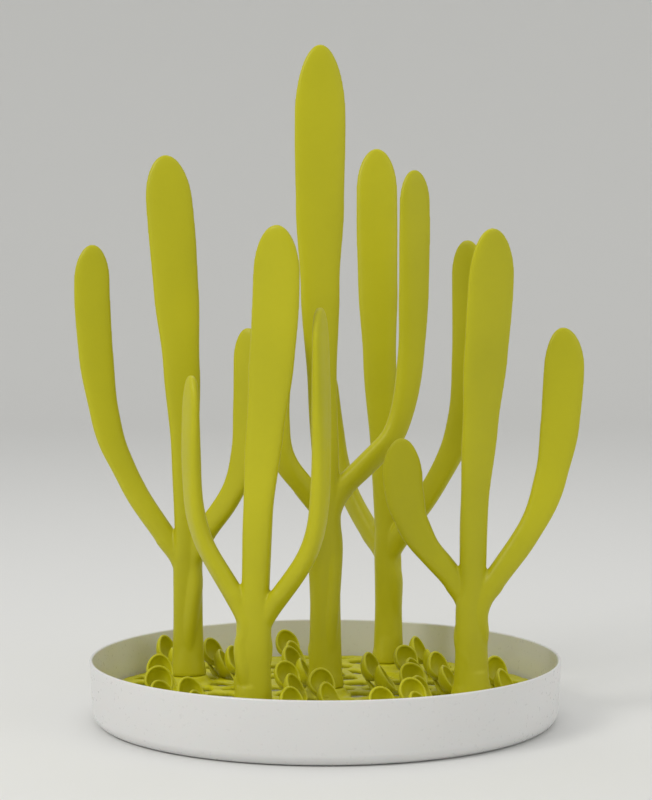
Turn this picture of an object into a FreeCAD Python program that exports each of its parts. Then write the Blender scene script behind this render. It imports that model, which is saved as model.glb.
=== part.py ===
import FreeCAD, Part
import math, os, random

V = FreeCAD.Vector
os.makedirs("parts", exist_ok=True)

# ---------------------------------------------------------------- driving dimensions (mm)
TRAY_R = 134.0          # outer radius of the tray wall
TRAY_H = 35.0           # rim height
WALL_T = 2.4            # tray wall thickness at the floor, thins to the rim
FLOOR_T = 2.5           # tray floor thickness
EDGE_R = 7.0            # outer radius between underside and wall

DECK_R = 128.0          # outer radius of the drain grate
DECK_Z0 = 9.6           # underside of the grate deck
DECK_Z1 = 13.0          # top of the grate deck
DECK_RIM = 4.5          # width of the outer ring of the grate
CELL_PITCH = 20.5       # mean spacing of the drain gaps
BAR_W = 6.4             # width of the twig-like bars between gaps

COLLAR_R = 12.5         # outer radius of a stem socket collar
COLLAR_H = 4.0          # collar height above the deck
FOOT_R = 10.0           # outer radius of the socket cups under the deck
PEG = 10.6              # square peg of a stem, across flats
PEG_R = 2.5             # peg corner radius
PEG_LEN = 11.0          # peg length below the collar top
PEG_GAP = 0.3           # clearance between peg and socket, each side

SCOOP_T = 1.5           # wall thickness of the leaf scoops
SCOOP_FRONT = (4.8, -1.7, 7.6, 9.5)    # front scoop: along, across, centre height over the deck, radius
SCOOP_BACK = (-5.2, 2.7, 13.4, 9.0)    # back scoop: the same

SOCKETS = {"left": (-80.8, 38.4), "front": (-38.4, -80.8), "center": (0.0, 0.0),
           "back": (38.4, 80.8), "right": (80.8, -38.4)}

COLLAR_Z = DECK_Z1 + COLLAR_H
REST_GAP = 0.05          # the stem shoulder clears the collar by this much

# Each stem: the height where it forks, and three prongs. A prong has its widest width, the
# plan angle of its broad face (degrees from +X), and centre points from the fork to the tip.
STEMS = {
    "left": (95.0, {
        "C": (28.0, 8, [(-81.1, 38.4, 106.3), (-82.6, 40.8, 159.0), (-84.8, 43.2, 204.7), (-87.3, 45.2, 239.0), (-89.8, 47.3, 273.2), (-92.7, 49.3, 305.1), (-94.3, 50.4, 322.6)]),
        "L": (21.5, 12, [(-83.8, 38.4, 80.9), (-92.6, 41.5, 96.2), (-104.3, 44.8, 112.5), (-111.6, 46.8, 123.5), (-120.0, 49.1, 139.9), (-127.9, 51.0, 158.3), (-134.4, 52.4, 192.9), (-137.5, 52.4, 232.1), (-137.8, 52.4, 252.7), (-137.2, 52.4, 270.1)]),
        "R": (19.5, -25, [(-78.2, 38.4, 83.2), (-70.3, 34.4, 101.7), (-57.5, 30.5, 119.8), (-49.6, 28.0, 137.1), (-45.9, 26.5, 160.0), (-44.6, 26.4, 187.2), (-44.6, 26.4, 209.8), (-44.8, 26.4, 221.5)])}),
    "front": (77.9, {
        "C": (26.0, -18, [(-36.9, -80.8, 90.2), (-35.6, -84.3, 126.1), (-33.0, -88.0, 157.5), (-29.7, -92.1, 188.5), (-26.5, -97.2, 225.3), (-25.3, -101.0, 251.5), (-25.0, -104.8, 276.9)]),
        "L": (19.0, -66, [(-40.5, -80.8, 63.0), (-46.4, -78.0, 77.3), (-55.8, -75.2, 92.0), (-64.9, -72.9, 107.1), (-70.3, -71.4, 124.7), (-71.9, -70.8, 145.7), (-72.2, -70.8, 170.8), (-71.7, -70.8, 197.9)]),
        "R": (21.0, 72, [(-34.9, -80.8, 63.0), (-26.5, -82.7, 77.9), (-17.1, -84.3, 90.3), (-8.4, -85.8, 104.5), (-3.4, -87.3, 122.3), (-1.7, -88.5, 147.2), (-1.7, -88.8, 178.1), (-2.1, -88.8, 208.8), (-2.6, -88.8, 234.3)])}),
    "center": (128.2, {
        "C": (29.5, 12, [(0.3, 0.0, 139.5), (-1.2, -0.8, 172.9), (-2.3, -1.9, 210.5), (-3.0, -3.2, 250.1), (-3.0, -4.7, 293.7), (-2.9, -6.3, 336.9), (-2.7, -8.0, 380.4)]),
        "L": (19.5, -15, [(-1.0, 0.0, 112.8), (-5.0, -3.6, 122.1), (-13.8, -8.8, 134.8), (-21.8, -12.6, 145.0), (-26.8, -16.2, 160.7), (-28.4, -18.0, 184.8), (-28.4, -18.0, 206.6), (-27.5, -18.0, 228.3)]),
        "R": (19.5, 25, [(3.0, 0.0, 115.0), (8.3, 2.2, 129.3), (19.5, 4.3, 140.1), (30.2, 6.3, 150.6), (39.1, 7.8, 160.1), (45.8, 9.9, 181.2), (49.4, 11.6, 210.2), (50.6, 12.0, 241.3), (51.0, 12.0, 272.3), (51.1, 12.0, 296.6), (50.9, 12.0, 311.8)])}),
    "back": (91.6, {
        "C": (25.5, 5, [(37.4, 80.8, 101.6), (35.7, 84.3, 144.2), (33.8, 87.8, 179.6), (32.5, 92.9, 227.0), (31.8, 97.2, 264.9), (31.6, 101.0, 298.2), (31.6, 104.8, 329.9)]),
        "L": (18.5, -50, [(36.2, 80.8, 80.1), (32.4, 87.8, 87.6), (25.4, 97.8, 98.5), (17.6, 107.6, 111.5), (10.3, 115.6, 128.3), (5.5, 118.8, 151.3), (2.3, 118.8, 175.7), (0.6, 118.8, 197.5)]),
        "R": (21.0, -25, [(39.3, 80.8, 80.1), (46.6, 73.9, 98.1), (58.1, 67.0, 114.9), (69.3, 60.2, 134.8), (78.2, 54.9, 155.7), (82.9, 51.2, 183.7), (84.6, 50.8, 216.0), (84.4, 50.8, 248.1), (83.6, 50.8, 272.8)])}),
    "right": (77.9, {
        "C": (28.5, 28, [(81.4, -38.4, 88.8), (81.7, -43.4, 121.8), (83.4, -49.4, 154.5), (85.9, -58.3, 197.4), (87.7, -65.3, 228.9), (88.6, -71.1, 253.8), (88.2, -76.4, 275.9)]),
        "L": (22.5, 0, [(78.9, -38.4, 62.7), (74.6, -36.9, 78.1), (65.3, -35.7, 90.6), (55.6, -34.9, 101.4), (47.8, -34.4, 115.4), (43.7, -34.4, 130.6), (42.3, -34.4, 145.8), (42.3, -34.4, 161.7)]),
        "R": (23.0, 6, [(84.1, -38.4, 62.7), (88.4, -37.8, 75.7), (97.8, -37.1, 89.5), (109.9, -36.3, 106.3), (120.6, -35.7, 127.1), (127.9, -35.4, 157.7), (131.0, -35.4, 192.1), (131.5, -35.4, 209.3), (130.3, -35.4, 222.8)])}),
}

TRUNK_W = {"left": 16.6, "front": 20.0, "center": 17.8, "back": 16.2, "right": 18.6}   # trunk width halfway up
FOOT_FLARE = 3.0        # extra width at the foot
TRUNK_T = 15.4          # trunk depth
NECK_W = 13.8           # width of a prong just above the fork
NECK_T = 10.5           # thickness of a prong just above the fork
TIP_T = 5.4             # thickness of a prong near its tip


# ---------------------------------------------------------------- helpers
def export(shape, node):
    shape.exportStep("parts/%s.step" % node)
    print(node, "solids", len(shape.Solids), "valid", shape.isValid(), "volume cm3", round(shape.Volume / 1000.0, 2))


def catmull(pts, n):
    """Smooth path through pts, n samples evenly spaced along it."""
    P = [V(*p) for p in pts]
    P = [P[0] * 2 - P[1]] + P + [P[-1] * 2 - P[-2]]
    dense = []
    for i in range(1, len(P) - 2):
        for k in range(24):
            t = k / 24.0
            a, b, c, d = P[i - 1], P[i], P[i + 1], P[i + 2]
            dense.append((b * 2 + (c - a) * t + (a * 2 - b * 5 + c * 4 - d) * t * t
                          + (b * 3 - a - c * 3 + d) * t * t * t) * 0.5)
    dense.append(P[-2])
    s = [0.0]
    for a, b in zip(dense, dense[1:]):
        s.append(s[-1] + (b - a).Length)
    out = []
    j = 0
    for k in range(n):
        u = s[-1] * k / (n - 1.0)
        while j < len(s) - 2 and s[j + 1] < u:
            j += 1
        f = (u - s[j]) / max(1e-9, s[j + 1] - s[j])
        out.append(dense[j] * (1 - f) + dense[j + 1] * f)
    return out, s[-1]


def lerp_table(table, u):
    for (u0, a), (u1, b) in zip(table, table[1:]):
        if u <= u1:
            f = (u - u0) / (u1 - u0)
            f = f * f * (3 - 2 * f)
            return a + (b - a) * f
    return table[-1][1]


def section(c, tan, phi, w, t, n=16):
    """Closed smooth oval around c, w wide along the broad direction and t thick."""
    tan = V(tan)
    tan.normalize()
    a = V(math.cos(math.radians(phi)), math.sin(math.radians(phi)), 0)
    a = a - tan * a.dot(tan)
    a.normalize()
    b = tan.cross(a)
    pts = []
    for k in range(n):
        q = 2 * math.pi * k / n
        cq, sq = math.cos(q), math.sin(q)
        e = 0.86
        x = math.copysign(abs(cq) ** e, cq) * w / 2
        y = math.copysign(abs(sq) ** e, sq) * t / 2
        pts.append(c + a * x + b * y)
    bs = Part.BSplineCurve()
    bs.interpolate(pts, PeriodicFlag=True)
    return Part.Wire([bs.toShape()])


def tangent(path, i):
    a = path[max(0, i - 1)]
    b = path[min(len(path) - 1, i + 1)]
    return b - a


def tip_factor(dist, r):
    """Rounded end: half width shrinks over the last r millimetres."""
    if dist >= r:
        return 1.0
    q = 1 - dist / r
    return math.sqrt(max(0.0, 1 - q * q))


def prong(stem, key):
    zf, prongs = STEMS[stem]
    wmax, phi, pts = prongs[key]
    bx, by = SOCKETS[stem]
    if key == "C":
        z0 = COLLAR_Z + REST_GAP
        full = [(bx, by, z0), (bx, by, z0 + (zf - z0) * 0.25), (bx, by, z0 + (zf - z0) * 0.6)] + pts
    else:
        full = [(bx, by, pts[0][2] - 24.0)] + pts
    n = 30 if key == "C" else 22
    path, length = catmull(full, n)
    wires = []
    zt = pts[-1][2]
    fork_s = 0.0
    for i, p in enumerate(path):
        s = length * i / (n - 1.0)
        if p.z < zf + 4:
            fork_s = s
    blade = length - fork_s
    stations = [(i, length * i / (n - 1.0)) for i in range(n)]
    end = length
    for i, s in stations:
        p = path[i]
        d = end - s
        if d < 9.5 and i != n - 1:
            continue
        if i == n - 1:
            break
        ub = (s - fork_s) / blade
        ang = phi
        if ub <= 0:
            if key == "C":
                f = s / max(1.0, fork_s)
                tw = TRUNK_W[stem]
                w = lerp_table([(0, tw + FOOT_FLARE), (0.45, tw), (0.8, tw), (1.0, NECK_W + 1.2)], f)
                t = lerp_table([(0, TRUNK_T + 2.5), (0.45, TRUNK_T), (1.0, NECK_T + 1.5)], f)
            else:
                f = s / max(1.0, fork_s)
                w = lerp_table([(0, 7.0), (0.5, 10.0), (1.0, NECK_W - 1.0)], f)
                t = lerp_table([(0, 7.0), (0.5, 9.0), (1.0, NECK_T)], f)
        else:
            k = lerp_table([(0, 0.0), (0.22, 0.12), (0.45, 0.52), (0.64, 0.9), (0.8, 1.0), (1.0, 0.93)], ub)
            nw = NECK_W + 1.2 if key == "C" else NECK_W - 1.0
            w = nw + (wmax - nw) * k
            t = lerp_table([(0, NECK_T + (1.5 if key == "C" else 0)), (0.3, 9.4), (0.6, 8.2), (1.0, TIP_T)], ub)
        r = wmax * (1.30 if (stem, key) == ("center", "C") else 0.98)
        fct = tip_factor(d, r)
        tan = V(0, 0, 1) if (key == "C" and i == 0) else tangent(path, i)
        wires.append(section(p, tan, ang, w * fct, t))
    # the rounded tip
    last = path[-1]
    dr = path[-1] - path[-2]
    dr.normalize()
    k = 0.93
    r = wmax * (1.30 if (stem, key) == ("center", "C") else 0.98)
    for d in (7.0, 4.4, 2.4, 1.1, 0.35):
        fct = tip_factor(d, r)
        wires.append(section(last - dr * d, dr, phi, wmax * k * fct, TIP_T * (0.45 + 0.55 * tip_factor(d, 7.0))))
    return Part.makeLoft(wires, True, False)


def rounded_square(a, r, z0, h, cx, cy):
    s = Part.makeBox(a, a, h, V(cx - a / 2, cy - a / 2, z0))
    es = [e for e in s.Edges if abs(e.Vertexes[0].X - e.Vertexes[1].X) < 1e-6
          and abs(e.Vertexes[0].Y - e.Vertexes[1].Y) < 1e-6]
    return s.makeFillet(r, es)


# ---------------------------------------------------------------- tray
def tray():
    ro, ri = TRAY_R, TRAY_R - WALL_T
    prof = Part.BSplineCurve()
    a = EDGE_R * (1 - math.sqrt(0.5))
    rb = ro - 1.6                                   # wall leans out slightly from the edge
    p = [
        Part.LineSegment(V(0, 0, 0), V(rb - EDGE_R, 0, 0)).toShape(),
        Part.Arc(V(rb - EDGE_R, 0, 0), V(rb - a, 0, a), V(rb, 0, EDGE_R)).toShape(),
        Part.LineSegment(V(rb, 0, EDGE_R), V(ro, 0, TRAY_H - 0.9)).toShape(),
        Part.Arc(V(ro, 0, TRAY_H - 0.9), V(ro - 0.9, 0, TRAY_H), V(ro - 1.8, 0, TRAY_H - 0.9)).toShape(),
        Part.LineSegment(V(ro - 1.8, 0, TRAY_H - 0.9), V(ri - 1.4, 0, FLOOR_T + 4.5)).toShape(),
        Part.Arc(V(ri - 1.4, 0, FLOOR_T + 4.5), V(ri - 1.4 - 1.32, 0, FLOOR_T + 1.32), V(ri - 5.9, 0, FLOOR_T)).toShape(),
        Part.LineSegment(V(ri - 5.9, 0, FLOOR_T), V(0, 0, FLOOR_T)).toShape(),
        Part.LineSegment(V(0, 0, FLOOR_T), V(0, 0, 0)).toShape(),
    ]
    f = Part.Face(Part.Wire(p))
    return f.revolve(V(0, 0, 0), V(0, 0, 1), 360)


# ---------------------------------------------------------------- drain grate deck
def cells():
    """Seed points of the drain gaps: a jittered hexagonal field inside the rim."""
    rnd = random.Random(11)
    pts = []
    rows = int(2 * DECK_R / (CELL_PITCH * 0.866)) + 2
    for j in range(-rows // 2 - 1, rows // 2 + 2):
        for i in range(-rows // 2 - 1, rows // 2 + 2):
            x = (i + 0.5 * (j % 2)) * CELL_PITCH
            y = j * CELL_PITCH * 0.866
            x += rnd.uniform(-4.2, 4.2)
            y += rnd.uniform(-4.2, 4.2)
            if math.hypot(x, y) < DECK_R + CELL_PITCH:
                pts.append((x, y))
    return pts


def clip(poly, nx, ny, d):
    """Keep the side of poly where nx*x + ny*y <= d."""
    out = []
    for (x0, y0), (x1, y1) in zip(poly, poly[1:] + poly[:1]):
        s0 = nx * x0 + ny * y0 - d
        s1 = nx * x1 + ny * y1 - d
        if s0 <= 0:
            out.append((x0, y0))
        if (s0 < 0 < s1) or (s1 < 0 < s0):
            f = s0 / (s0 - s1)
            out.append((x0 + (x1 - x0) * f, y0 + (y1 - y0) * f))
    return out


def gaps():
    pts = cells()
    res = []
    rin = DECK_R - DECK_RIM
    for i, (x, y) in enumerate(pts):
        R = CELL_PITCH * 1.2
        poly = [(x - R, y - R), (x + R, y - R), (x + R, y + R), (x - R, y + R)]
        for j, (u, v) in enumerate(pts):
            if j == i:
                continue
            dx, dy = u - x, v - y
            L = math.hypot(dx, dy)
            if L > 2.6 * CELL_PITCH:
                continue
            nx, ny = dx / L, dy / L
            d = nx * x + ny * y + L / 2 - BAR_W / 2
            poly = clip(poly, nx, ny, d)
            if not poly:
                break
        if not poly:
            continue
        for k in range(72):                          # stay inside the outer ring
            q = 2 * math.pi * k / 72
            poly = clip(poly, math.cos(q), math.sin(q), rin)
            if not poly:
                break
        if not poly:
            continue
        for sx, sy in SOCKETS.values():              # stay outside the socket pads
            dx, dy = sx - x, sy - y
            L = math.hypot(dx, dy)
            if L < 1e-6:
                poly = []
                break
            if L < COLLAR_R + 2.0 + 2.5 * CELL_PITCH:
                nx, ny = dx / L, dy / L
                poly = clip(poly, nx, ny, nx * sx + ny * sy - COLLAR_R - 2.0)
                if not poly:
                    break
        if not poly:
            continue
        area = 0.0
        for (x0, y0), (x1, y1) in zip(poly, poly[1:] + poly[:1]):
            area += (x0 * y1 - x1 * y0) / 2
        if area < 34:
            continue
        clean = []
        for p in poly:
            if not clean or math.hypot(p[0] - clean[-1][0], p[1] - clean[-1][1]) > 0.8:
                clean.append(p)
        if math.hypot(clean[0][0] - clean[-1][0], clean[0][1] - clean[-1][1]) <= 0.8:
            clean.pop()
        if len(clean) >= 3:
            res.append(clean)
    return res


def deck():
    body = Part.makeCylinder(DECK_R, DECK_Z1 - DECK_Z0, V(0, 0, DECK_Z0))
    cutters = []
    for poly in gaps():
        w = Part.makePolygon([V(x, y, DECK_Z0 - 1) for x, y in poly + poly[:1]])
        cutters.append(Part.Face(w).extrude(V(0, 0, DECK_Z1 - DECK_Z0 + 2)))
    for x, y in SOCKETS.values():
        cutters.append(rounded_square(PEG + 2 * PEG_GAP, PEG_R + PEG_GAP, DECK_Z0 - 1, DECK_Z1 - DECK_Z0 + 2, x, y))
    return body.cut(Part.makeCompound(cutters)).Solids[0]


def collars():
    out = []
    for x, y in SOCKETS.values():
        c = Part.makeCone(COLLAR_R, COLLAR_R - 1.2, COLLAR_H, V(x, y, DECK_Z1))
        out.append(c.cut(rounded_square(PEG + 2 * PEG_GAP, PEG_R + PEG_GAP, DECK_Z1 - 1, COLLAR_H + 2, x, y)))
    return Part.makeCompound(out)


def cups():
    out = []
    for x, y in SOCKETS.values():
        c = Part.makeCylinder(FOOT_R, DECK_Z0 - FLOOR_T, V(x, y, FLOOR_T))
        z = COLLAR_Z - PEG_LEN - 0.4
        out.append(c.cut(rounded_square(PEG + 2 * PEG_GAP, PEG_R + PEG_GAP, z, DECK_Z0 - z + 1, x, y)))
    return Part.makeCompound(out)


# ---------------------------------------------------------------- leaf scoops on the deck
def junctions():
    """Meeting points of the bars, in plan."""
    pts = cells()
    out = []
    for i, (x, y) in enumerate(pts):
        if math.hypot(x, y) > DECK_R + 8:
            continue
        R = CELL_PITCH * 1.2
        poly = [(x - R, y - R), (x + R, y - R), (x + R, y + R), (x - R, y + R)]
        for j, (u, v) in enumerate(pts):
            dx, dy = u - x, v - y
            L = math.hypot(dx, dy)
            if j == i or L > 2.6 * CELL_PITCH:
                continue
            nx, ny = dx / L, dy / L
            poly = clip(poly, nx, ny, nx * x + ny * y + L / 2)
            if not poly:
                break
        for p in poly:
            if math.hypot(*p) > DECK_R - 16:
                continue
            if all(math.hypot(p[0] - u, p[1] - v) > 2.0 for u, v in out):
                out.append(p)
    return out


def scoop_sites():
    """(x, y, facing) of each pair of leaf scoops, standing where the bars meet."""
    rnd = random.Random(5)
    J = junctions()
    sites = []
    pitch = 33.0
    for j in range(-4, 5):
        for i in range(-4, 5):
            x = (i + 0.5 * (j % 2)) * pitch + rnd.uniform(-3, 3)
            y = j * pitch * 0.80 + rnd.uniform(-3, 3)
            a = -28 + rnd.uniform(-20, 20)
            if math.hypot(x, y) > DECK_R - 12:
                continue
            near = min(J, key=lambda p: math.hypot(p[0] - x, p[1] - y))
            x, y = near
            if min(math.hypot(x - u, y - v) for u, v in SOCKETS.values()) < COLLAR_R + 13.0:
                continue
            if sites and min(math.hypot(x - u, y - v) for u, v, w in sites) < 24.0:
                continue
            sites.append((x, y, a))
    return sites


def cup(c, a, el, r):
    """A thin concave leaf: part of a spherical shell that opens along azimuth a, tilted up by el."""
    ce = math.cos(math.radians(el))
    d = V(math.cos(math.radians(a)) * ce, math.sin(math.radians(a)) * ce, math.sin(math.radians(el)))
    shell = Part.makeSphere(r, c).cut(Part.makeSphere(r - SCOOP_T, c))
    return shell.cut(Part.makeCylinder(r * 1.5, r * 2.2, c - d * (r * 0.02), d)), d


def scoop_pair(x, y, a):
    """A low front scoop and a taller back scoop on one root."""
    ca, sa = math.cos(math.radians(a)), math.sin(math.radians(a))
    cf = V(x + ca * SCOOP_FRONT[0] - sa * SCOOP_FRONT[1], y + sa * SCOOP_FRONT[0] + ca * SCOOP_FRONT[1], DECK_Z1 + SCOOP_FRONT[2])
    cb = V(x + ca * SCOOP_BACK[0] - sa * SCOOP_BACK[1], y + sa * SCOOP_BACK[0] + ca * SCOOP_BACK[1], DECK_Z1 + SCOOP_BACK[2])
    f, df = cup(cf, a + 12, 34, SCOOP_FRONT[3])
    b, db = cup(cb, a - 14, 30, SCOOP_BACK[3])
    top = cb - db * (SCOOP_BACK[3] - SCOOP_T * 0.5)
    root = V(x, y, DECK_Z1 - 2)
    ax = top - root
    st = Part.makeCone(2.6, 1.6, ax.Length, root, ax)
    s = f.fuse([b, st])
    s = s.cut(Part.makeSphere(SCOOP_FRONT[3] - SCOOP_T, cf).common(Part.makeCylinder(30, 40, cf - df * 30, df)).cut(Part.makeCylinder(30, 40, cf, df)))
    s = s.cut(Part.makeBox(80, 80, 20, V(x - 40, y - 40, DECK_Z1 - 20)))
    return s.Solids


def scoops():
    done = []
    for x, y, a in scoop_sites():
        sol = sorted(scoop_pair(x, y, a), key=lambda q: -q.Volume)
        s = sol[0]
        for k in done:
            if s.BoundBox.intersect(k.BoundBox) and s.common(k).Volume > 1e-4:
                g = s.cut(k)
                s = sorted(g.Solids, key=lambda q: -q.Volume)[0]
        done.append(s)
    print("scoop pairs", len(done), "lowest", min(round(s.BoundBox.ZMin, 2) for s in done), "highest", max(round(s.BoundBox.ZMax, 2) for s in done))
    return Part.makeCompound(done)


# ---------------------------------------------------------------- stems
def stem(name):
    body = prong(name, "C")
    for key in ("L", "R"):
        body = body.fuse(prong(name, key))
    x, y = SOCKETS[name]
    body = body.fuse(rounded_square(PEG, PEG_R, COLLAR_Z - PEG_LEN, PEG_LEN + 2.0, x, y))
    return body.Solids[0] if len(body.Solids) == 1 else body


export(tray(), "tray")
export(deck(), "grate_deck")
export(collars(), "socket_collars")
export(cups(), "socket_cups")
export(scoops(), "leaf_scoops")
for nm in STEMS:
    export(stem(nm), "stem_" + nm)
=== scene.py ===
import bpy
import math
import random
import numpy as np
from mathutils import Vector, Matrix


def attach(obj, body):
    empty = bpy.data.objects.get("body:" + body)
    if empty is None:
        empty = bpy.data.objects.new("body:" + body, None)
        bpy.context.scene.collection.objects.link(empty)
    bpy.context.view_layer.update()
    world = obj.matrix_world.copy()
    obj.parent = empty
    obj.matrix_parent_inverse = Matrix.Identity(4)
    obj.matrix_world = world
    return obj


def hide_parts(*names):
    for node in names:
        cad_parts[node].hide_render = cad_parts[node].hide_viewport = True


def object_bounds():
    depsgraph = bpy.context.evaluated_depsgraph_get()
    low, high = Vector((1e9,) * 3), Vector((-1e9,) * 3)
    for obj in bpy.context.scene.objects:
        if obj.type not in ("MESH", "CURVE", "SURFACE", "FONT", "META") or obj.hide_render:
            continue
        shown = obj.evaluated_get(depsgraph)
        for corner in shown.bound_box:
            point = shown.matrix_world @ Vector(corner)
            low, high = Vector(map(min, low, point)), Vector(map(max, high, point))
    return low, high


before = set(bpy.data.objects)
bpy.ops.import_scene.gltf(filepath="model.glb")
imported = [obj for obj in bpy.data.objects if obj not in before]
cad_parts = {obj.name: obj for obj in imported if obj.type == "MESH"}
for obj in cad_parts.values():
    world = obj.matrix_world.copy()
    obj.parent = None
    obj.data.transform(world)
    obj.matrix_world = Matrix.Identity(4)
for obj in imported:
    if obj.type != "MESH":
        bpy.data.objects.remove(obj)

CAD_LO, CAD_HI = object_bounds()
CAD_LO, CAD_HI = [float(v) for v in CAD_LO], [float(v) for v in CAD_HI]
scene = bpy.context.scene
MM = 0.001

# ------------------------------------------------------------------ dimensions (mm)
TRAY_R, TRAY_H, WALL_T, FLOOR_T, EDGE_R = 134.0, 35.0, 2.4, 2.5, 7.0
DECK_R, DECK_Z0, DECK_Z1, DECK_RIM = 128.0, 9.6, 13.0, 4.5
CELL_PITCH, BAR_W = 20.5, 6.4
COLLAR_R, COLLAR_H = 12.5, 4.0
PEG, PEG_R, PEG_LEN, PEG_GAP = 10.6, 2.5, 11.0, 0.3
COLLAR_Z = DECK_Z1 + COLLAR_H
SOCKETS = {"left": (-80.8, 38.4), "front": (-38.4, -80.8), "center": (0.0, 0.0),
           "back": (38.4, 80.8), "right": (80.8, -38.4)}
TRUNK_W = {"left": 18.0, "front": 20.0, "center": 18.2, "back": 17.2, "right": 20.4}
FOOT_FLARE, TRUNK_T = 3.0, 15.4
NECK_W, NECK_T, TIP_T = 13.8, 10.5, 5.4
TWIST = {"left": -60, "front": 62, "center": -66, "back": 40, "right": 64}      # degrees the side folds wind
SCOOP_FRONT = (4.8, -1.7, 7.6, 9.5)
SCOOP_BACK = (-5.2, 2.7, 13.4, 9.0)

STEMS = {
    "left": (95.0, {
        "C": (28.0, 8, [(-81.1, 38.4, 106.3), (-82.6, 40.8, 159.0), (-84.8, 43.2, 204.7), (-87.3, 45.2, 239.0), (-89.8, 47.3, 273.2), (-92.7, 49.3, 305.1), (-94.3, 50.4, 322.6)]),
        "L": (21.5, 12, [(-83.8, 38.4, 80.9), (-92.6, 41.5, 96.2), (-104.3, 44.8, 112.5), (-111.6, 46.8, 123.5), (-120.0, 49.1, 139.9), (-127.9, 51.0, 158.3), (-134.4, 52.4, 192.9), (-137.5, 52.4, 232.1), (-137.8, 52.4, 252.7), (-137.2, 52.4, 270.1)]),
        "R": (19.5, -25, [(-78.2, 38.4, 83.2), (-70.3, 34.4, 101.7), (-57.5, 30.5, 119.8), (-49.6, 28.0, 137.1), (-45.9, 26.5, 160.0), (-44.6, 26.4, 187.2), (-44.6, 26.4, 209.8), (-44.8, 26.4, 221.5)])}),
    "front": (77.9, {
        "C": (26.0, -18, [(-36.9, -80.8, 90.2), (-35.6, -84.3, 126.1), (-33.0, -88.0, 157.5), (-29.7, -92.1, 188.5), (-26.5, -97.2, 225.3), (-25.3, -101.0, 251.5), (-25.0, -104.8, 276.9)]),
        "L": (19.0, -66, [(-40.5, -80.8, 63.0), (-46.4, -78.0, 77.3), (-55.8, -75.2, 92.0), (-64.9, -72.9, 107.1), (-70.3, -71.4, 124.7), (-71.9, -70.8, 145.7), (-72.2, -70.8, 170.8), (-71.7, -70.8, 197.9)]),
        "R": (21.0, 72, [(-34.9, -80.8, 63.0), (-26.5, -82.7, 77.9), (-17.1, -84.3, 90.3), (-8.4, -85.8, 104.5), (-3.4, -87.3, 122.3), (-1.7, -88.5, 147.2), (-1.7, -88.8, 178.1), (-2.1, -88.8, 208.8), (-2.6, -88.8, 234.3)])}),
    "center": (128.2, {
        "C": (29.5, 12, [(0.3, 0.0, 139.5), (-1.2, -0.8, 172.9), (-2.3, -1.9, 210.5), (-3.0, -3.2, 250.1), (-3.0, -4.7, 293.7), (-2.9, -6.3, 336.9), (-2.7, -8.0, 380.4)]),
        "L": (19.5, -15, [(-1.0, 0.0, 112.8), (-5.0, -3.6, 122.1), (-13.8, -8.8, 134.8), (-21.8, -12.6, 145.0), (-26.8, -16.2, 160.7), (-28.4, -18.0, 184.8), (-28.4, -18.0, 206.6), (-27.5, -18.0, 228.3)]),
        "R": (19.5, 25, [(3.0, 0.0, 115.0), (8.3, 2.2, 129.3), (19.5, 4.3, 140.1), (30.2, 6.3, 150.6), (39.1, 7.8, 160.1), (45.8, 9.9, 181.2), (49.4, 11.6, 210.2), (50.6, 12.0, 241.3), (51.0, 12.0, 272.3), (51.1, 12.0, 296.6), (50.9, 12.0, 311.8)])}),
    "back": (91.6, {
        "C": (25.5, 5, [(37.4, 80.8, 101.6), (35.7, 84.3, 144.2), (33.8, 87.8, 179.6), (32.5, 92.9, 227.0), (31.8, 97.2, 264.9), (31.6, 101.0, 298.2), (31.6, 104.8, 329.9)]),
        "L": (18.5, -50, [(36.2, 80.8, 80.1), (32.4, 87.8, 87.6), (25.4, 97.8, 98.5), (17.6, 107.6, 111.5), (10.3, 115.6, 128.3), (5.5, 118.8, 151.3), (2.3, 118.8, 175.7), (0.6, 118.8, 197.5)]),
        "R": (21.0, -25, [(39.3, 80.8, 80.1), (46.6, 73.9, 98.1), (58.1, 67.0, 114.9), (69.3, 60.2, 134.8), (78.2, 54.9, 155.7), (82.9, 51.2, 183.7), (84.6, 50.8, 216.0), (84.4, 50.8, 248.1), (83.6, 50.8, 272.8)])}),
    "right": (77.9, {
        "C": (28.5, 28, [(81.4, -38.4, 88.8), (81.7, -43.4, 121.8), (83.4, -49.4, 154.5), (85.9, -58.3, 197.4), (87.7, -65.3, 228.9), (88.6, -71.1, 253.8), (88.2, -76.4, 275.9)]),
        "L": (22.5, 0, [(78.9, -38.4, 62.7), (74.6, -36.9, 78.1), (65.3, -35.7, 90.6), (55.6, -34.9, 101.4), (47.8, -34.4, 115.4), (43.7, -34.4, 130.6), (42.3, -34.4, 145.8), (42.3, -34.4, 161.7)]),
        "R": (23.0, 6, [(84.1, -38.4, 62.7), (88.4, -37.8, 75.7), (97.8, -37.1, 89.5), (109.9, -36.3, 106.3), (120.6, -35.7, 127.1), (127.9, -35.4, 157.7), (131.0, -35.4, 192.1), (131.5, -35.4, 209.3), (130.3, -35.4, 222.8)])}),
}


# ------------------------------------------------------------------ mesh helpers
def mesh_object(name, verts, faces):
    me = bpy.data.meshes.new(name)
    me.from_pydata([tuple(v) for v in verts], [], faces)
    me.validate()
    me.update()
    ob = bpy.data.objects.new(name, me)
    scene.collection.objects.link(ob)
    return ob


def shade_smooth(ob):
    ob.data.polygons.foreach_set("use_smooth", [True] * len(ob.data.polygons))
    ob.data.update()


def apply_modifiers(ob):
    bpy.context.view_layer.update()
    dg = bpy.context.evaluated_depsgraph_get()
    me = bpy.data.meshes.new_from_object(ob.evaluated_get(dg))
    old = ob.data
    ob.modifiers.clear()
    ob.data = me
    me.name = ob.name
    bpy.data.meshes.remove(old)
    return ob


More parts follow.
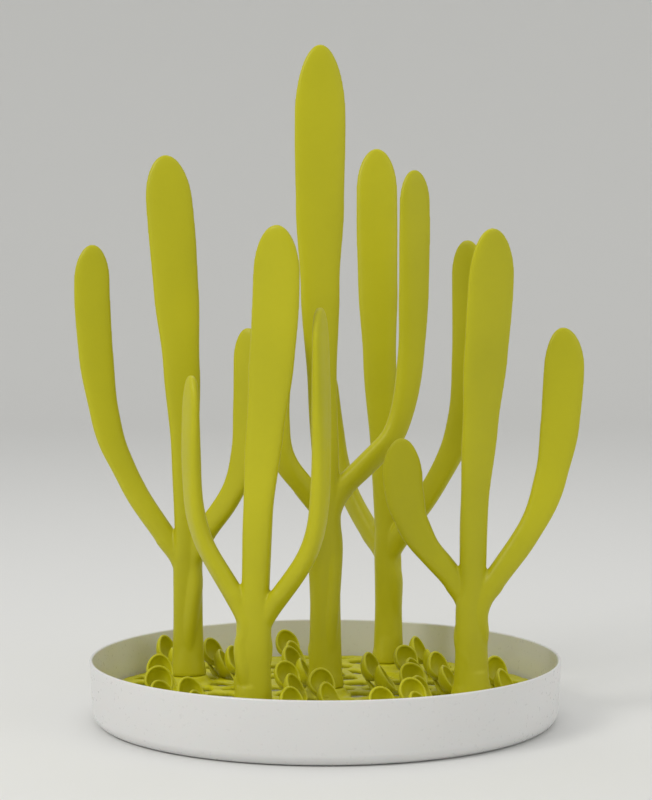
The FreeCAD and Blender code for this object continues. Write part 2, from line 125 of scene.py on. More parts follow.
def tube(rings, cap0=True, cap1=True):
    """Verts and faces of a closed tube through rings of equal point counts."""
    n = len(rings[0])
    verts = [p for r in rings for p in r]
    faces = []
    for i in range(len(rings) - 1):
        a, b = i * n, (i + 1) * n
        for k in range(n):
            k2 = (k + 1) % n
            faces.append((a + k, a + k2, b + k2, b + k))
    if cap0:
        faces.append(tuple(reversed(range(n))))
    if cap1:
        m = (len(rings) - 1) * n
        faces.append(tuple(range(m, m + n)))
    return verts, faces


class Soup:
    def __init__(self):
        self.v, self.f = [], []

    def add(self, verts, faces):
        o = len(self.v)
        self.v += [tuple(float(c) * MM for c in p) for p in verts]
        self.f += [tuple(i + o for i in f) for f in faces]

    def obj(self, name):
        return mesh_object(name, self.v, self.f)


def lathe(profile, n, name, close=True):
    """Revolve a closed (r, z) profile in mm about Z. Points at r = 0 are poles."""
    verts, faces, idx = [], [], []
    for r, z in profile:
        if r < 1e-6:
            idx.append([len(verts)])
            verts.append((0, 0, z * MM))
        else:
            idx.append(list(range(len(verts), len(verts) + n)))
            for k in range(n):
                a = 2 * math.pi * k / n
                verts.append((r * MM * math.cos(a), r * MM * math.sin(a), z * MM))
    m = len(profile)
    for i in range(m if close else m - 1):
        a, b = idx[i], idx[(i + 1) % m]
        if len(a) == 1 and len(b) == 1:
            continue
        for k in range(n):
            k2 = (k + 1) % n
            if len(a) == 1:
                faces.append((a[0], b[k], b[k2]))
            elif len(b) == 1:
                faces.append((a[k], b[0], a[k2]))
            else:
                faces.append((a[k], b[k], b[k2], a[k2]))
    ob = mesh_object(name, verts, faces)
    import bmesh
    bm = bmesh.new()
    bm.from_mesh(ob.data)
    bmesh.ops.recalc_face_normals(bm, faces=bm.faces)
    bm.to_mesh(ob.data)
    bm.free()
    shade_smooth(ob)
    return ob


def arc(cx, cz, r, a0, a1, n):
    return [(cx + r * math.cos(math.radians(a0 + (a1 - a0) * k / n)),
             cz + r * math.sin(math.radians(a0 + (a1 - a0) * k / n))) for k in range(n + 1)]


def voxel(ob, size_mm, smooth=10, factor=0.5):
    m = ob.modifiers.new("remesh", "REMESH")
    m.mode = "VOXEL"
    m.voxel_size = size_mm * MM
    m.use_smooth_shade = True
    s = ob.modifiers.new("smooth", "SMOOTH")
    s.factor = factor
    s.iterations = smooth
    apply_modifiers(ob)
    shade_smooth(ob)
    return ob


def lerp_table(table, u):
    for (u0, a), (u1, b) in zip(table, table[1:]):
        if u <= u1:
            f = min(1.0, max(0.0, (u - u0) / (u1 - u0)))
            f = f * f * (3 - 2 * f)
            return a + (b - a) * f
    return table[-1][1]


def catmull(pts, step):
    P = [Vector(p) for p in pts]
    P = [P[0] * 2 - P[1]] + P + [P[-1] * 2 - P[-2]]
    dense = []
    for i in range(1, len(P) - 2):
        for k in range(24):
            t = k / 24.0
            a, b, c, d = P[i - 1], P[i], P[i + 1], P[i + 2]
            dense.append((b * 2 + (c - a) * t + (a * 2 - b * 5 + c * 4 - d) * t * t
                          + (b * 3 - a - c * 3 + d) * t * t * t) * 0.5)
    dense.append(P[-2])
    s = [0.0]
    for a, b in zip(dense, dense[1:]):
        s.append(s[-1] + (b - a).length)
    n = max(8, int(s[-1] / step))
    out, j = [], 0
    for k in range(n):
        u = s[-1] * k / (n - 1.0)
        while j < len(s) - 2 and s[j + 1] < u:
            j += 1
        f = (u - s[j]) / max(1e-9, s[j + 1] - s[j])
        out.append(dense[j] * (1 - f) + dense[j + 1] * f)
    return out, s[-1]


def relax(path, times):
    """Even out a path's curvature, ends fixed."""
    P = [p.copy() for p in path]
    for _ in range(times):
        P = [P[0]] + [(P[i - 1] + P[i] * 2 + P[i + 1]) / 4 for i in range(1, len(P) - 1)] + [P[-1]]
    return P


def tip_factor(dist, r):
    if dist >= r:
        return 1.0
    q = 1 - max(0.0, dist) / r
    return math.sqrt(max(0.0, 1 - q * q))


def oval(c, tan, phi, w, t, n=28, e=0.86, skew=0.0):
    tan = tan.normalized()
    a = Vector((math.cos(math.radians(phi)), math.sin(math.radians(phi)), 0))
    a = (a - tan * a.dot(tan)).normalized()
    b = tan.cross(a)
    pts = []
    for k in range(n):
        q = 2 * math.pi * k / n
        cq, sq = math.cos(q), math.sin(q)
        x = math.copysign(abs(cq) ** e, cq) * w / 2
        y = math.copysign(abs(sq) ** e, sq) * t / 2
        # a leaf-like section: one face a little fuller than the other
        y += skew * (1 - (2 * x / max(w, 1e-6)) ** 2) * t
        pts.append(c + a * x + b * y)
    return pts


# ------------------------------------------------------------------ stems
def prong_rings(stem, key):
    zf, prongs = STEMS[stem]
    wmax, phi, pts = prongs[key]
    bx, by = SOCKETS[stem]
    if key == "C":
        z0 = COLLAR_Z
        full = [(bx, by, z0), (bx, by, z0 + (zf - z0) * 0.25), (bx, by, z0 + (zf - z0) * 0.6)] + pts
    else:
        # a side prong runs on down the trunk as a soft rib
        d = Vector(pts[3]) - Vector(pts[0])
        d.z = 0
        d.normalize()
        lo = COLLAR_Z + 10
        z1 = pts[0][2]
        off = (TRUNK_W[stem] - 8.6) / 2
        full = []
        # it winds round the trunk on its way down, which leaves a slanting fold
        for u, k_, turn in ((0.0, 0.55, TWIST[stem]), (0.3, 0.85, TWIST[stem] * 0.8), (0.58, 1.0, TWIST[stem] * 0.45), (0.82, 1.05, TWIST[stem] * 0.12)):
            q = math.radians(turn)
            ex, ey = d.x * math.cos(q) - d.y * math.sin(q), d.x * math.sin(q) + d.y * math.cos(q)
            full.append((bx + ex * off * k_, by + ey * off * k_, lo + (z1 - lo) * u))
        full += pts
    path, length = catmull(full, 1.9)
    path = relax(path, 10)
    n = len(path)
    fork_s = 0.0
    cum = [0.0]
    for a, b in zip(path, path[1:]):
        cum.append(cum[-1] + (b - a).length)
    length = cum[-1]
    for p, s in zip(path, cum):
        if p.z < zf + 4:
            fork_s = s
    blade = length - fork_s
    rings = []
    r = wmax * (1.30 if (stem, key) == ("center", "C") else 0.98)
    tw = TRUNK_W[stem]
    samples = [(i, cum[i]) for i in range(n) if length - cum[i] > 6.0]
    tail = [5.2, 4.2, 3.3, 2.5, 1.8, 1.2, 0.7, 0.3, 0.08]
    for i, s in samples + [(None, length - d) for d in tail]:
        if i is None:
            dr = (path[-1] - path[-3]).normalized()
            p = path[-1] - dr * (length - s)
            tan = dr
        else:
            p = path[i]
            tan = path[min(n - 1, i + 1)] - path[max(0, i - 1)]
        d = length - s
        ub = (s - fork_s) / blade
        if ub <= 0:
            f = s / max(1.0, fork_s)
            if key == "C":
                w = lerp_table([(0, tw + 1.0), (0.45, tw - 0.6), (0.8, tw - 0.6), (1.0, NECK_W + 1.6)], f)
                t = lerp_table([(0, TRUNK_T), (0.45, TRUNK_T - 4.6), (0.8, TRUNK_T - 4.4), (1.0, NECK_T + 1.5)], f)
            else:
                w = lerp_table([(0, 7.0), (0.4, 8.4), (0.8, 10.6), (1.0, NECK_W - 0.4)], f)
                t = lerp_table([(0, 8.0), (0.5, 9.6), (1.0, NECK_T)], f)
        else:
            k = lerp_table([(0, 0.0), (0.22, 0.12), (0.45, 0.52), (0.64, 0.9), (0.8, 1.0), (1.0, 0.93)], ub)
            nw = NECK_W + 1.2 if key == "C" else NECK_W - 1.0
            w = nw + (wmax - nw) * k
            t = lerp_table([(0, NECK_T + (1.5 if key == "C" else 0)), (0.3, 9.4), (0.6, 8.2), (1.0, TIP_T)], ub)
        w *= tip_factor(d, r)
        t *= 0.30 + 0.70 * tip_factor(d, 8.0)
        sk = 0.10 * min(1.0, max(0.0, ub * 3))
        rings.append(oval(p, tan, phi, w, t, skew=sk))
    return rings


def rounded_square(a, r, z, n=6):
    pts = []
    for cx, cy, a0 in ((1, 1, 0), (-1, 1, 90), (-1, -1, 180), (1, -1, 270)):
        for k in range(n + 1):
            q = math.radians(a0 + 90.0 * k / n)
            pts.append(((a / 2 - r) * cx + r * math.cos(q), (a / 2 - r) * cy + r * math.sin(q), z))
    return pts


def build_stem(name):
    soup = Soup()
    for key in ("C", "L", "R"):
        soup.add(*tube(prong_rings(name, key)))
    bx, by = SOCKETS[name]
    # the foot swells a little just above its socket
    rings = []
    fw = TRUNK_W[name] + FOOT_FLARE
    for z, w, t in ((COLLAR_Z + 0.0, fw, 18.2), (COLLAR_Z + 2.0, fw + 0.2, 18.2), (COLLAR_Z + 6.0, fw - 1.2, 17.0), (COLLAR_Z + 16.0, fw - 5.0, 13.4)):
        rings.append(oval(Vector((bx, by, z)), Vector((0, 0, 1)), 20, w, t))
    soup.add(*tube(rings))
    ob = soup.obj("twig_stem_" + name)
    voxel(ob, 0.8, smooth=4, factor=0.5)
    # flat shoulder on the collar, then the peg that plugs into the socket
    co = np.empty(len(ob.data.vertices) * 3, np.float32)
    ob.data.vertices.foreach_get("co", co)
    co = co.reshape(-1, 3)
    low = COLLAR_Z * MM + 0.00002
    co[:, 2] = np.where(co[:, 2] < low, low, co[:, 2])
    ob.data.vertices.foreach_set("co", co.ravel())
    ob.data.update()
    peg = Soup()
    rs = []
    for z, a in ((COLLAR_Z - PEG_LEN, PEG - 1.2), (COLLAR_Z - PEG_LEN + 0.35, PEG - 0.4), (COLLAR_Z - PEG_LEN + 0.8, PEG), (COLLAR_Z - 1.0, PEG), (COLLAR_Z + 3.0, PEG)):
        rs.append([(bx + x, by + y, zz) for x, y, zz in rounded_square(a, PEG_R - 0.2, z)])
    peg.add(*tube(rs))
    pob = peg.obj("peg_" + name)
    shade_smooth(pob)
    return ob, pob


# ------------------------------------------------------------------ drain grate
def cell_seeds():
    rnd = random.Random(11)
    pts = []
    rows = int(2 * DECK_R / (CELL_PITCH * 0.866)) + 2
    for j in range(-rows // 2 - 1, rows // 2 + 2):
        for i in range(-rows // 2 - 1, rows // 2 + 2):
            x = (i + 0.5 * (j % 2)) * CELL_PITCH
            y = j * CELL_PITCH * 0.866
            x += rnd.uniform(-4.2, 4.2)
            y += rnd.uniform(-4.2, 4.2)
            if math.hypot(x, y) < DECK_R + CELL_PITCH:
                pts.append((x, y))
    return pts


def clip(poly, nx, ny, d):
    out = []
    for (x0, y0), (x1, y1) in zip(poly, poly[1:] + poly[:1]):
        s0 = nx * x0 + ny * y0 - d
        s1 = nx * x1 + ny * y1 - d
        if s0 <= 0:
            out.append((x0, y0))
        if (s0 < 0 < s1) or (s1 < 0 < s0):
            f = s0 / (s0 - s1)
            out.append((x0 + (x1 - x0) * f, y0 + (y1 - y0) * f))
    return out


def area_of(poly):
    return sum(x0 * y1 - x1 * y0 for (x0, y0), (x1, y1) in zip(poly, poly[1:] + poly[:1])) / 2


def cell_polygon(pts, i, inset):
    x, y = pts[i]
    R = CELL_PITCH * 1.2
    poly = [(x - R, y - R), (x + R, y - R), (x + R, y + R), (x - R, y + R)]
    for j, (u, v) in enumerate(pts):
        if j == i:
            continue
        dx, dy = u - x, v - y
        L = math.hypot(dx, dy)
        if L > 2.6 * CELL_PITCH:
            continue
        nx, ny = dx / L, dy / L
        poly = clip(poly, nx, ny, nx * x + ny * y + L / 2 - inset)
        if not poly:
            return None
    rin = DECK_R - DECK_RIM
    for k in range(72):
        q = 2 * math.pi * k / 72
        poly = clip(poly, math.cos(q), math.sin(q), rin + (BAR_W / 2 - inset))
        if not poly:
            return None
    for sx, sy in SOCKETS.values():
        dx, dy = sx - x, sy - y
        L = math.hypot(dx, dy)
        if L < 1e-6:
            return None
        if L < COLLAR_R + 2.0 + 2.5 * CELL_PITCH:
            nx, ny = dx / L, dy / L
            poly = clip(poly, nx, ny, nx * sx + ny * sy - COLLAR_R - 2.0 + (BAR_W / 2 - inset))
            if not poly:
                return None
    return poly


def bar_rings(p, q, w0, w1, wm, h, bend, seed):
    """A twig-like bar from p to q in plan: oval section, thinner halfway, slightly bowed."""
    rnd = random.Random(seed)
    d = Vector((q[0] - p[0], q[1] - p[1], 0))
    L = d.length
    d.normalize()
    s = Vector((-d.y, d.x, 0))
    n = max(4, int(L / 1.6))
    zc = (DECK_Z0 + DECK_Z1) / 2
    rings = []
    ph = rnd.uniform(0, 6.28)
    for k in range(n + 1):
        u = k / n
        w = w0 * (1 - u) + w1 * u
        w = w + (wm - w) * math.sin(math.pi * u) ** 0.8
        w *= 1 + 0.07 * math.sin(ph + u * 9.0)
        c = Vector((p[0], p[1], zc)) + d * (L * u) + s * (bend * math.sin(math.pi * u)) + Vector((0, 0, 0.18 * math.sin(ph + 5 * u)))
        ring = []
        for j in range(14):
            a = 2 * math.pi * j / 14
            ca, sa = math.cos(a), math.sin(a)
            ring.append(c + s * (math.copysign(abs(ca) ** 0.8, ca) * w / 2) + Vector((0, 0, math.copysign(abs(sa) ** 0.8, sa) * h / 2)))
        rings.append(ring)
    return rings


def build_grate():
    pts = cell_seeds()
    soup = Soup()
    seen = {}
    rnd = random.Random(3)
    holes = []
    for i in range(len(pts)):
        poly = cell_polygon(pts, i, 0.0)
        if not poly or len(poly) < 3:
            continue
        inner = cell_polygon(pts, i, BAR_W / 2)
        if not inner or abs(area_of(inner)) < 34:
            # too small to be a gap: a webbed patch
            if abs(area_of(poly)) > 4:
                lo = [(x, y, DECK_Z0 + 0.5) for x, y in poly]
                hi = [(x, y, DECK_Z1 - 0.5) for x, y in poly]
                soup.add(*tube([lo, hi]))
        else:
            holes.append((sum(p[0] for p in poly) / len(poly), sum(p[1] for p in poly) / len(poly)))
        for a, b in zip(poly, poly[1:] + poly[:1]):
            L = math.hypot(a[0] - b[0], a[1] - b[1])
            if L < 0.6:
                continue
            key = (round((a[0] + b[0]) * 2), round((a[1] + b[1]) * 2))
            if any((key[0] + du, key[1] + dv) in seen for du in (-1, 0, 1) for dv in (-1, 0, 1)):
                continue
            seen[key] = True
            wm = BAR_W * rnd.uniform(0.80, 1.02)
            soup.add(*tube(bar_rings(a, b, BAR_W * 1.28, BAR_W * 1.28, wm, DECK_Z1 - DECK_Z0, rnd.uniform(-0.5, 0.5), len(seen))))
    # outer ring
    rm = DECK_R - DECK_RIM / 2
    rings = []
    for k in range(240):
        a = 2 * math.pi * k / 240
        c = Vector((rm * math.cos(a), rm * math.sin(a), (DECK_Z0 + DECK_Z1) / 2))
        o = Vector((math.cos(a), math.sin(a), 0))
        ring = []
        for j in range(12):
            q = 2 * math.pi * j / 12
            cq, sq = math.cos(q), math.sin(q)
            ring.append(c + o * (math.copysign(abs(cq) ** 0.7, cq) * DECK_RIM / 2) + Vector((0, 0, math.copysign(abs(sq) ** 0.7, sq) * (DECK_Z1 - DECK_Z0) / 2)))
        rings.append(ring)
    v = [p for r in rings for p in r]
    f = []
    for i in range(240):
        a, b = i * 12, ((i + 1) % 240) * 12
        for k in range(12):
            k2 = (k + 1) % 12
            f.append((a + k, b + k, b + k2, a + k2))
    soup.add(v, f)
    # pads under the sockets, flaring up into the collars
    for sx, sy in SOCKETS.values():
        rings = []
        for z, r in ((DECK_Z0 + 0.05, COLLAR_R + 1.9), (DECK_Z1 - 0.6, COLLAR_R + 2.4), (DECK_Z1 - 0.1, COLLAR_R + 2.0), (DECK_Z1 + 0.9, COLLAR_R + 0.4),
                     (DECK_Z1 + 2.4, COLLAR_R - 0.7), (COLLAR_Z - 0.75, COLLAR_R - 1.2), (COLLAR_Z - 0.25, COLLAR_R - 1.6), (COLLAR_Z + 0.02, COLLAR_R - 2.4)):
            rings.append([(sx + r * math.cos(2 * math.pi * k / 40), sy + r * math.sin(2 * math.pi * k / 40), z) for k in range(40)])
        soup.add(*tube(rings))
    net = soup.obj("twig_net_grate")
    voxel(net, 0.72, smooth=5, factor=0.5)
    # bar ends stay inside the round edge
    co = np.empty(len(net.data.vertices) * 3, np.float32)
    net.data.vertices.foreach_get("co", co)
    co = co.reshape(-1, 3)
    rad = np.hypot(co[:, 0], co[:, 1])
    lim = DECK_R * MM
    k = np.where(rad > lim, (lim + (rad - lim) * 0.05) / np.maximum(rad, 1e-9), 1.0)
    co[:, 0] *= k
    co[:, 1] *= k
    net.data.vertices.foreach_set("co", co.ravel())
    net.data.update()
    return net, holes


def drill_sockets(ob):
    """Open the five sockets in the grate with a boolean."""
    soup = Soup()
    for sx, sy in SOCKETS.values():
        rs = []
        for z in (DECK_Z0 - 3, COLLAR_Z + 3):
            rs.append([(sx + x, sy + y, zz) for x, y, zz in rounded_square(PEG + 2 * PEG_GAP, PEG_R + PEG_GAP, z)])
        soup.add(*tube(rs))
    cutter = soup.obj("socket_cutter")
    m = ob.modifiers.new("sockets", "BOOLEAN")
    m.operation = "DIFFERENCE"
    m.solver = "EXACT"
    m.object = cutter
    apply_modifiers(ob)
    bpy.data.objects.remove(cutter)
    return ob


def junctions(pts):
    """Meeting points of the bars, in plan."""
    out = []
    for i, (x, y) in enumerate(pts):
        if math.hypot(x, y) > DECK_R + 8:
            continue
        R = CELL_PITCH * 1.2
        poly = [(x - R, y - R), (x + R, y - R), (x + R, y + R), (x - R, y + R)]
        for j, (u, v) in enumerate(pts):
            dx, dy = u - x, v - y
            L = math.hypot(dx, dy)
            if j == i or L > 2.6 * CELL_PITCH:
                continue
            nx, ny = dx / L, dy / L
            poly = clip(poly, nx, ny, nx * x + ny * y + L / 2)
            if not poly:
                break
        for p in poly:
            if math.hypot(*p) > DECK_R - 16:
                continue
            if all(math.hypot(p[0] - u, p[1] - v) > 2.0 for u, v in out):
                out.append(p)
    return out


def scoop_sites():
    """(x, y, facing) of each pair of leaf scoops, standing where the bars meet."""
    rnd = random.Random(5)
    J = junctions(cell_seeds())
    sites = []
    pitch = 33.0
    for j in range(-4, 5):
        for i in range(-4, 5):
            x = (i + 0.5 * (j % 2)) * pitch + rnd.uniform(-3, 3)
            y = j * pitch * 0.80 + rnd.uniform(-3, 3)
            a = -28 + rnd.uniform(-20, 20)
            if math.hypot(x, y) > DECK_R - 12:
                continue
            near = min(J, key=lambda p: math.hypot(p[0] - x, p[1] - y))
            x, y = near
            if min(math.hypot(x - u, y - v) for u, v in SOCKETS.values()) < COLLAR_R + 13.0:
                continue
            if sites and min(math.hypot(x - u, y - v) for u, v, w in sites) < 24.0:
                continue
            sites.append((x, y, a))
    return sites


def leaf_cup(soup, c, a, elev, r, seed):
    """A concave leaf: a bowl that opens along azimuth a and upward, with a thick rolled rim."""
    rnd = random.Random(seed)
    el = math.radians(elev + rnd.uniform(-3, 3))
    az = math.radians(a)
    d = Vector((math.cos(az) * math.cos(el), math.sin(az) * math.cos(el), math.sin(el)))
    e1 = Vector((-math.sin(az), math.cos(az), 0))
    e2 = d.cross(e1)
    if e2.z < 0:
        e2 = -e2
    T = 1.5
    nr, na = 10, 48
    wob = rnd.uniform(0, 6.28)
    lean = rnd.uniform(-0.5, 0.5)
    outer, inner = [], []
    for ring in range(nr + 1):
        u = ring / nr
        ro, ri = [], []
        for k in range(na):
            th = 2 * math.pi * k / na
            up = math.sin(th - lean)
            # an ear-like outline: a soft point at the top, narrower at the root
            rim = r * (1.0 + 0.09 * max(0.0, up) ** 3 - 0.10 * max(0.0, -up) + 0.025 * math.sin(3 * th + wob))
            ang = u * math.radians(88)
            q = (e1 * math.cos(th) * 0.96 + e2 * math.sin(th))
            sag = 0.7 * (1 - abs(math.sin(th))) * u * u
            # the bowl's bottom hangs towards the root, with a midrib down its back
            hang = e2 * (-0.24 * r * (1 - u) ** 1.5)
            lat = math.cos(th) * math.sin(ang) * rim
            rib = 0.45 * math.exp(-(lat / 1.1) ** 2) * (1 - u ** 3)
            ro.append(c + hang + q * (rim * math.sin(ang) * (1 - 0.07 * math.sin(ang * 2))) - d * (r * 0.84 * math.cos(ang) + sag + rib))
            ri.append(c + hang + q * (max(0.0, rim - T) * math.sin(ang) * (1 - 0.07 * math.sin(ang * 2))) - d * ((r * 0.84 - T) * math.cos(ang) + sag))
        outer.append(ro)
        inner.append(ri)
    # rolled rim between the two skins
    bead = []
    for k5 in range(1, 6):
        g = math.pi * k5 / 6
        ring = []
        for k in range(na):
            o, i_ = outer[-1][k], inner[-1][k]
            m_ = (o + i_) * 0.5
            ring.append(m_ + (o - m_) * math.cos(g) * 1.15 + d * math.sin(g) * 0.95)
        bead.append(ring)
    rings = outer[1:] + bead + list(reversed(inner[1:]))
    verts = [p for rr in rings for p in rr]
    faces = []
    for i in range(len(rings) - 1):
        A, B = i * na, (i + 1) * na
        for k in range(na):
            k2 = (k + 1) % na
            faces.append((A + k, A + k2, B + k2, B + k))
    i0 = len(verts)
    verts.append(outer[0][0])
    for k in range(na):
        faces.append((i0, (k + 1) % na, k))
    i1 = len(verts)
    verts.append(inner[0][0])
    m = (len(rings) - 1) * na
    for k in range(na):
        faces.append((i1, m + k, m + (k + 1) % na))
    soup.add(verts, faces)
    return d, c - d * (r * 0.84 - 0.2) - e2 * (0.24 * r)


def stalk(soup, a, b, ra, rb, bow):
    rings = []
    for k in range(8):
        u = k / 7
        p = a * (1 - u) + b * u + bow * math.sin(math.pi * u)
        rad = ra + (rb - ra) * math.sin(math.pi * u / 2)
        rings.append([p + Vector((rad * math.cos(2 * math.pi * q / 18), rad * math.sin(2 * math.pi * q / 18), 0)) for q in range(18)])
    soup.add(*tube(rings))


def scoop_pair(soup, x, y, a, seed):
    ca, sa = math.cos(math.radians(a)), math.sin(math.radians(a))
    def at(s):
        return Vector((x + ca * s[0] - sa * s[1], y + sa * s[0] + ca * s[1], DECK_Z1 + s[2]))
    cf, cb = at(SCOOP_FRONT), at(SCOOP_BACK)
    df, ef = leaf_cup(soup, cf, a + 12, 34, SCOOP_FRONT[3], seed)
    db, eb = leaf_cup(soup, cb, a - 14, 30, SCOOP_BACK[3], seed + 50)
    root = Vector((x, y, DECK_Z0 + 1.4))
    # the stalks end inside the walls, so nothing shows in the bowls
    stalk(soup, root, ef, 3.8, 0.8, Vector((0, 0, 0)))
    stalk(soup, root, eb, 3.6, 0.9, Vector((-ca, -sa, 0)) * 1.2)


def build_scoops():
    soup = Soup()
    for i, (x, y, a) in enumerate(scoop_sites()):
        scoop_pair(soup, x, y, a, 100 + i)
    ob = soup.obj("leaf_scoop_petals")
    import bmesh
    bm = bmesh.new()
    bm.from_mesh(ob.data)
    bmesh.ops.recalc_face_normals(bm, faces=bm.faces)
    bm.to_mesh(ob.data)
    bm.free()
    shade_smooth(ob)
    return ob


# ------------------------------------------------------------------ tray
def build_tray():
    ro = TRAY_R
    rb = ro - 1.6
    prof = [(0, 0.9), (60, 0.9), (108, 0.9), (111.5, 0.75), (113, 0.3), (114.5, 0.0), (rb - EDGE_R - 1.5, 0.0)]
    prof += arc(rb - EDGE_R, EDGE_R, EDGE_R, -90, 0, 14)
    prof += [(rb + 0.35, 12.0), (rb + 0.8, 20.0), (rb + 1.2, 28.0)]
    prof += arc(ro - 0.95, TRAY_H - 0.95, 0.95, -4, 184, 12)
    prof += [(ro - 2.0, 32.0), (ro - 2.3, 27.0), (ro - 2.9, 20.0), (ro - 3.4, 12.0)]
    prof += arc(ro - 3.6 - 5.2, FLOOR_T + 5.2, 5.2, 0, -90, 12)
    prof += [(110, FLOOR_T), (60, FLOOR_T), (0, FLOOR_T)]
    prof = [(max(0.0, r), z) for r, z in prof]
    return lathe(prof, 320, "drip_tray")


# ------------------------------------------------------------------ materials
def nodes_of(name):
    m = bpy.data.materials.new(name)
    m.use_nodes = True
    nt = m.node_tree
    for n in list(nt.nodes):
        nt.nodes.remove(n)
    out = nt.nodes.new("ShaderNodeOutputMaterial")
    b = nt.nodes.new("ShaderNodeBsdfPrincipled")
    nt.links.new(b.outputs[0], out.inputs[0])
    tc = nt.nodes.new("ShaderNodeTexCoord")
    return m, nt, b, tc


def noise(nt, tc, scale, detail=3.0, rough=0.5, stretch=None):
    n = nt.nodes.new("ShaderNodeTexNoise")
    n.inputs["Scale"].default_value = scale
    n.inputs["Detail"].default_value = detail
    n.inputs["Roughness"].default_value = rough
    if stretch:
        mp = nt.nodes.new("ShaderNodeMapping")
        mp.inputs["Scale"].default_value = stretch
        nt.links.new(tc.outputs["Object"], mp.inputs["Vector"])
        nt.links.new(mp.outputs[0], n.inputs["Vector"])
    else:
        nt.links.new(tc.outputs["Object"], n.inputs["Vector"])
    return n


def ramp(nt, src, stops):
    r = nt.nodes.new("ShaderNodeValToRGB")
    e = r.color_ramp.elements
    while len(e) < len(stops):
        e.new(0.5)
    for k, (p, c) in enumerate(stops):
        e[k].position = p
        e[k].color = c if len(c) == 4 else (*c, 1)
    nt.links.new(src, r.inputs["Fac"])
    return r


def maprange(nt, src, a, b, lo=0.0, hi=1.0):
    m = nt.nodes.new("ShaderNodeMapRange")
    m.inputs["From Min"].default_value = lo
    m.inputs["From Max"].default_value = hi
    m.inputs["To Min"].default_value = a
    m.inputs["To Max"].default_value = b
    nt.links.new(src, m.inputs["Value"])
    return m


def bump(nt, b, heights, distance):
    """Chain of bumps: heights is a list of (socket, strength)."""
    prev = None
    for sock, st in heights:
        n = nt.nodes.new("ShaderNodeBump")
        n.inputs["Strength"].default_value = st
        n.inputs["Distance"].default_value = distance
        nt.links.new(sock, n.inputs["Height"])
        if prev:
            nt.links.new(prev.outputs[0], n.inputs["Normal"])
        prev = n
    nt.links.new(prev.outputs[0], b.inputs["Normal"])


def lime(name, dark, mid, light, rough, coat):
    m, nt, b, tc = nodes_of(name)
    big = noise(nt, tc, 14.0, 2.0)
    fine = noise(nt, tc, 260.0, 4.0, 0.6)
    r = ramp(nt, big.outputs["Fac"], [(0.30, dark), (0.52, mid), (0.74, light)])
    mix = nt.nodes.new("ShaderNodeMix")
    mix.data_type = "RGBA"
    mix.inputs[0].default_value = 0.10
    fr = ramp(nt, fine.outputs["Fac"], [(0.35, dark), (0.65, light)])
    nt.links.new(r.outputs[0], mix.inputs[6])
    nt.links.new(fr.outputs[0], mix.inputs[7])
    nt.links.new(mix.outputs[2], b.inputs["Base Color"])
    rr = maprange(nt, fine.outputs["Fac"], rough - 0.05, rough + 0.06, 0.3, 0.7)
    nt.links.new(rr.outputs[0], b.inputs["Roughness"])
    peel = noise(nt, tc, 700.0, 2.0, 0.5)
    wave = noise(nt, tc, 60.0, 2.0, 0.5)
    bump(nt, b, [(wave.outputs["Fac"], 0.10), (peel.outputs["Fac"], 0.06)], 0.0006)
    b.inputs["IOR"].default_value = 1.40
    b.inputs["Coat Weight"].default_value = coat
    b.inputs["Coat Roughness"].default_value = 0.25
    b.inputs["Subsurface Weight"].default_value = 0.10
    b.inputs["Subsurface Radius"].default_value = (0.9, 1.0, 0.12)
    b.inputs["Subsurface Scale"].default_value = 0.0025
    return m


def white_plastic(name):
    m, nt, b, tc = nodes_of(name)
    big = noise(nt, tc, 9.0, 2.0)
    fine = noise(nt, tc, 420.0, 3.0, 0.6)
    r = ramp(nt, big.outputs["Fac"], [(0.3, (0.755, 0.752, 0.742)), (0.7, (0.780, 0.778, 0.768))])
    nt.links.new(r.outputs[0], b.inputs["Base Color"])
    rr = maprange(nt, fine.outputs["Fac"], 0.26, 0.36, 0.3, 0.7)
    nt.links.new(rr.outputs[0], b.inputs["Roughness"])
    peel = noise(nt, tc, 620.0, 2.0, 0.5)
    wave = noise(nt, tc, 35.0, 2.0, 0.5)
    bump(nt, b, [(wave.outputs["Fac"], 0.05), (peel.outputs["Fac"], 0.010)], 0.0005)
    b.inputs["IOR"].default_value = 1.49
    b.inputs["Coat Weight"].default_value = 0.25
    b.inputs["Coat Roughness"].default_value = 0.12
    b.inputs["Subsurface Weight"].default_value = 0.05
    b.inputs["Subsurface Scale"].default_value = 0.003
    return m


MAT_STEM = lime("lime_stem_plastic", (0.480, 0.455, 0.002), (0.520, 0.490, 0.003), (0.560, 0.525, 0.004), 0.44, 0.05)
MAT_GRATE = lime("lime_grate_plastic", (0.520, 0.500, 0.002), (0.570, 0.545, 0.003), (0.610, 0.580, 0.004), 0.42, 0.06)
MAT_TRAY = white_plastic("white_tray_plastic")


def paint(ob, mat):
    ob.data.materials.clear()
    ob.data.materials.append(mat)


# ------------------------------------------------------------------ assemble
tray = build_tray()
paint(tray, MAT_TRAY)
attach(tray, "tray")
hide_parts("tray")

net, holes = build_grate()
drill_sockets(net)
shade_smooth(net)
paint(net, MAT_GRATE)
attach(net, "grate")
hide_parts("grate_deck", "socket_collars")

petals = build_scoops()
paint(petals, MAT_GRATE)
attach(petals, "grate")
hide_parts("leaf_scoops")

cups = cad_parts["socket_cups"]
cups.data.materials.clear()
cups.data.materials.append(MAT_GRATE)

for nm in STEMS:
    st, peg = build_stem(nm)
    for ob in (st, peg):
        paint(ob, MAT_STEM)
        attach(ob, "stem_" + nm)
    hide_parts("stem_" + nm)

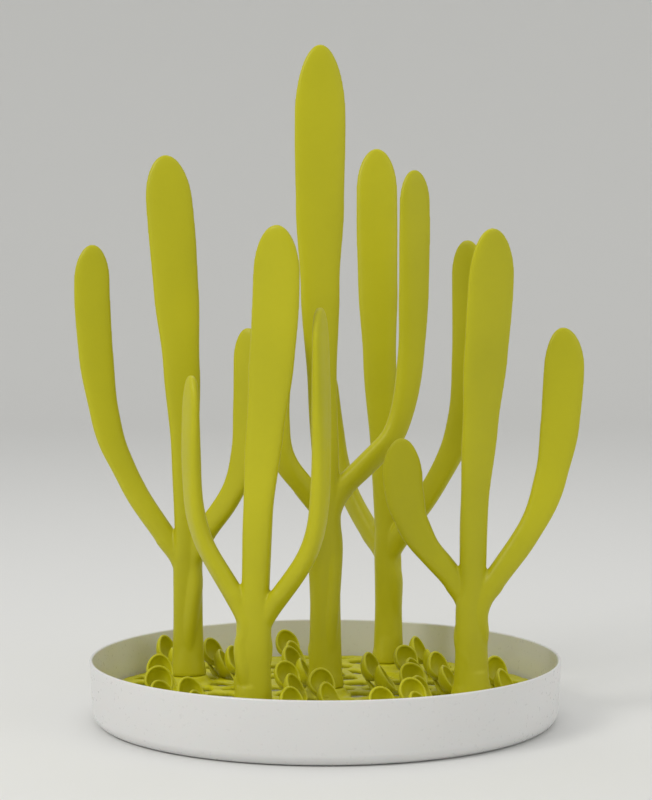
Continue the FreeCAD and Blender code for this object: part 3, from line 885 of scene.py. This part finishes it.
# ------------------------------------------------------------------ stage, light, camera
prof = [(0.0, 0.0), (0.4, 0.0), (0.9, 0.0), (1.6, 0.0), (2.2, 0.0), (2.6, 0.0)]
prof += [(2.6 + 1.0 * math.sin(math.radians(q)), 1.0 - 1.0 * math.cos(math.radians(q))) for q in range(6, 91, 6)]
prof += [(3.6, 1.25), (3.6, 1.5)]
vs, fs, NF = [(0.0, 0.0, 0.0)], [], 64
for r_, z_ in prof[1:]:
    for k in range(NF):
        vs.append((r_ * math.cos(2 * math.pi * k / NF), r_ * math.sin(2 * math.pi * k / NF), z_))
for k in range(NF):
    fs.append((0, 1 + k, 1 + (k + 1) % NF))
for i in range(len(prof) - 2):
    for k in range(NF):
        k2 = (k + 1) % NF
        fs.append((1 + i * NF + k, 1 + (i + 1) * NF + k, 1 + (i + 1) * NF + k2, 1 + i * NF + k2))
floor = mesh_object("floor", vs, fs)
shade_smooth(floor)
fm, fnt, fb, ftc = nodes_of("pale_floor")
fb.inputs["Base Color"].default_value = (0.80, 0.80, 0.785, 1)
fb.inputs["Roughness"].default_value = 0.85
paint(floor, fm)


def area(name, loc, target, size, power, color=(1, 1, 1)):
    l = bpy.data.lights.new(name, "AREA")
    l.shape = "RECTANGLE"
    l.size, l.size_y = size
    l.energy = power
    l.color = color
    o = bpy.data.objects.new(name, l)
    scene.collection.objects.link(o)
    o.location = loc
    o.rotation_euler = (Vector(target) - Vector(loc)).to_track_quat("-Z", "Y").to_euler()
    return o


area("key", (-1.1, -1.0, 1.3), (0, 0, 0.15), (0.7, 0.7), 11.0, (1.0, 0.99, 0.97))
area("fill", (1.4, -0.9, 0.9), (0, 0, 0.15), (1.0, 1.0), 3.0, (0.98, 0.99, 1.0))
area("top", (0.1, 0.5, 1.8), (0, 0, 0.1), (1.2, 1.2), 4.0)
w = bpy.data.worlds.new("studio")
scene.world = w
w.use_nodes = True
w.node_tree.nodes["Background"].inputs[0].default_value = (0.95, 0.95, 0.94, 1)
w.node_tree.nodes["Background"].inputs[1].default_value = 0.66

cam = bpy.data.cameras.new("camera")
cam.sensor_fit = "AUTO"
cam.sensor_width = 36.0
cam.lens = 95.0
co = bpy.data.objects.new("camera", cam)
scene.collection.objects.link(co)
co.location = (0.0, -1.1964, 0.243)
co.rotation_euler = (Vector((0.0004, 0, 0.181)) - co.location).to_track_quat("-Z", "Y").to_euler()
scene.camera = co
scene.view_settings.view_transform = "Standard"
